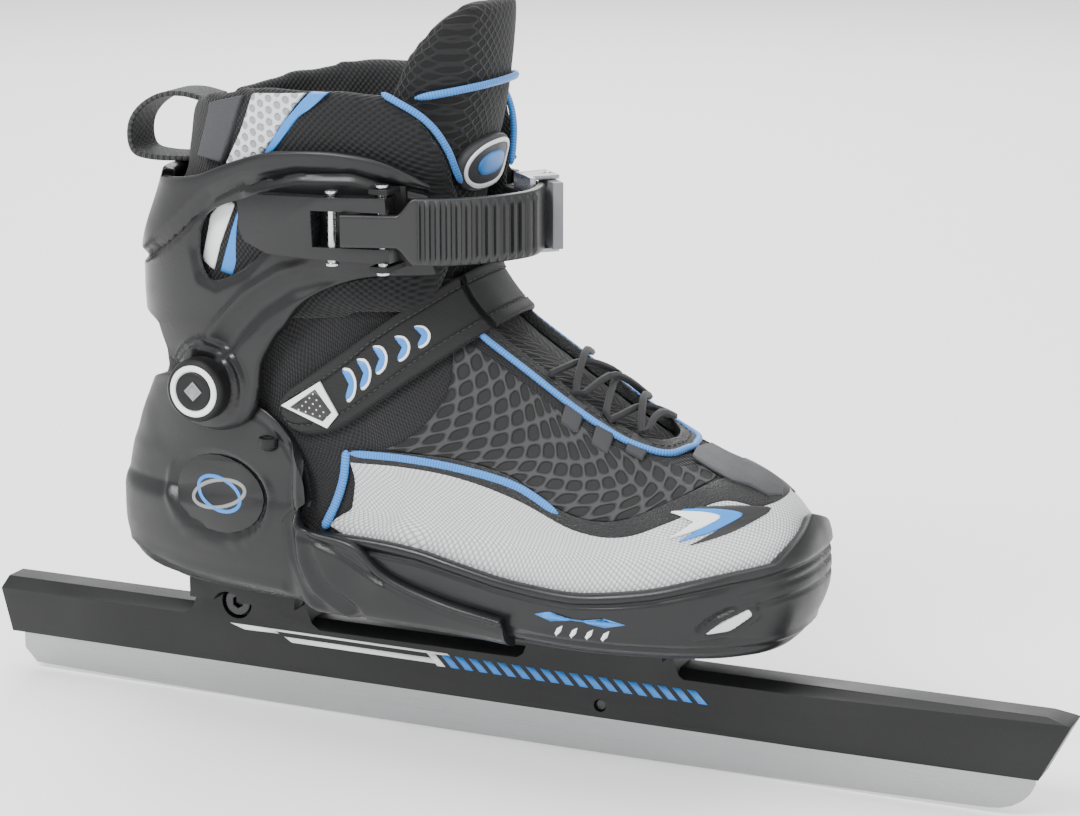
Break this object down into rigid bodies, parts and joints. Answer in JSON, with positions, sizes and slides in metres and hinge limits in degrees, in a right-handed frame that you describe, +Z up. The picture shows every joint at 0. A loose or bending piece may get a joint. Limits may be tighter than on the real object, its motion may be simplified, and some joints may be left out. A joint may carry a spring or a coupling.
{
  "type": "adjustable speed skate",
  "caption": "Right-foot speed skate: long straight blade in a two-tower frame under a size-adjustable boot with hinged cuff, buckle and straps.",
  "frame": {"origin": "lowest point of the blade's edge, midway across the blade, under the middle of the frame", "axes": "+X towards the toe along the blade, +Y towards the wearer's left, +Z up"},
  "size_m": [0.4025, 0.1045, 0.256],
  "materials": {
    "blade_steel": "ground and brushed along its length",
    "frame_black": "satin black",
    "bright_steel": "bright zinc",
    "black_plastic": "fine moulded texture",
    "black_fabric": "black mesh and padded fabric with blue trim",
    "silver_fabric": "silver woven fabric",
    "white_plastic": "white gloss",
    "silver_trim": "silver gloss",
    "grey_rubber": "matt grey rubber"
  },
  "bodies": {
    "root": {"blade": "blade_steel", "frame_rail": "frame_black", "rear_blade_bolt": "bright_steel", "rear_blade_nut": "bright_steel", "front_blade_pin": "bright_steel", "heel_mount_bolt": "bright_steel", "toe_mount_bolt": "bright_steel", "heel_shell": "black_plastic", "sole_plate": "black_plastic", "insole": "grey_rubber", "rear_upper": "black_fabric", "tongue_lower": "black_fabric", "pivot_bolt_right": "bright_steel", "pivot_bolt_left": "bright_steel", "pivot_cap_right": "white_plastic", "pivot_cap_left": "white_plastic", "shell_rivet_right": "black_plastic", "shell_rivet_left": "black_plastic", "side_badge_right": "black_plastic", "side_badge_left": "black_plastic", "power_strap_base": "black_fabric"},
    "toe_box": {"toe_shell": "black_plastic", "vamp": "silver_fabric", "vent_insert_right": "silver_trim", "vent_insert_left": "silver_trim", "toe_patch": "grey_rubber", "lace": "black_fabric", "lace_tab_right_1": "grey_rubber", "lace_tab_left_1": "grey_rubber", "lace_tab_right_2": "grey_rubber", "lace_tab_left_2": "grey_rubber", "lace_tab_right_3": "grey_rubber", "lace_tab_left_3": "grey_rubber"},
    "cuff": {"cuff_shell": "black_plastic", "collar": "black_fabric", "tongue_upper": "black_fabric", "pull_loop": "black_fabric", "buckle_base": "bright_steel", "buckle_hinge_pin": "bright_steel", "clip_carrier": "black_plastic", "clip_rivet": "bright_steel", "clip_housing": "bright_steel", "clip_pin": "bright_steel"},
    "lever": {"buckle_lever": "black_plastic", "lever_strap_pin": "bright_steel"},
    "strap": {"ladder_strap": "black_plastic"},
    "clip": {"clip_lever": "black_plastic"},
    "button": {"size_button": "black_plastic"},
    "power_flap": {"power_strap_flap": "black_fabric", "strap_badge": "white_plastic"}
  },
  "joints": [
    {"name": "cuff_flex", "type": "hinge", "parent": "root", "child": "cuff", "pos_m": [-0.086, 0, 0.126], "axis": [0, 1, 0], "range_deg": [-4, 6.5]},
    {"name": "lever_hinge", "type": "hinge", "parent": "cuff", "child": "lever", "pos_m": [-0.016, -0.04546, 0.186], "axis": [0, 0, 1], "range_deg": [0, 112]},
    {"name": "strap_swing", "type": "hinge", "parent": "cuff", "child": "strap", "pos_m": [-0.0325, -0.04931, 0.186], "axis": [0, 0, -1], "range_deg": [0, 95]},
    {"name": "clip_release", "type": "hinge", "parent": "cuff", "child": "clip", "pos_m": [0.01865, 0.00851, 0.186], "axis": [0, 0, 1], "range_deg": [0, 18], "stiffness_Nm_per_rad": 0.05},
    {"name": "size_slide", "type": "slide", "parent": "root", "child": "toe_box", "axis": [1, 0, 0], "range_m": [0, 0.02]},
    {"name": "size_button_press", "type": "slide", "parent": "root", "child": "button", "axis": [0, -1, 0], "range_m": [0, 0.0016], "stiffness_N_per_m": 800},
    {"name": "power_strap_peel", "type": "hinge", "parent": "root", "child": "power_flap", "pos_m": [0.0039, -0.017, 0.15813], "axis": [-0.6018, 0, 0.7986], "range_deg": [0, 52]}
  ]
}
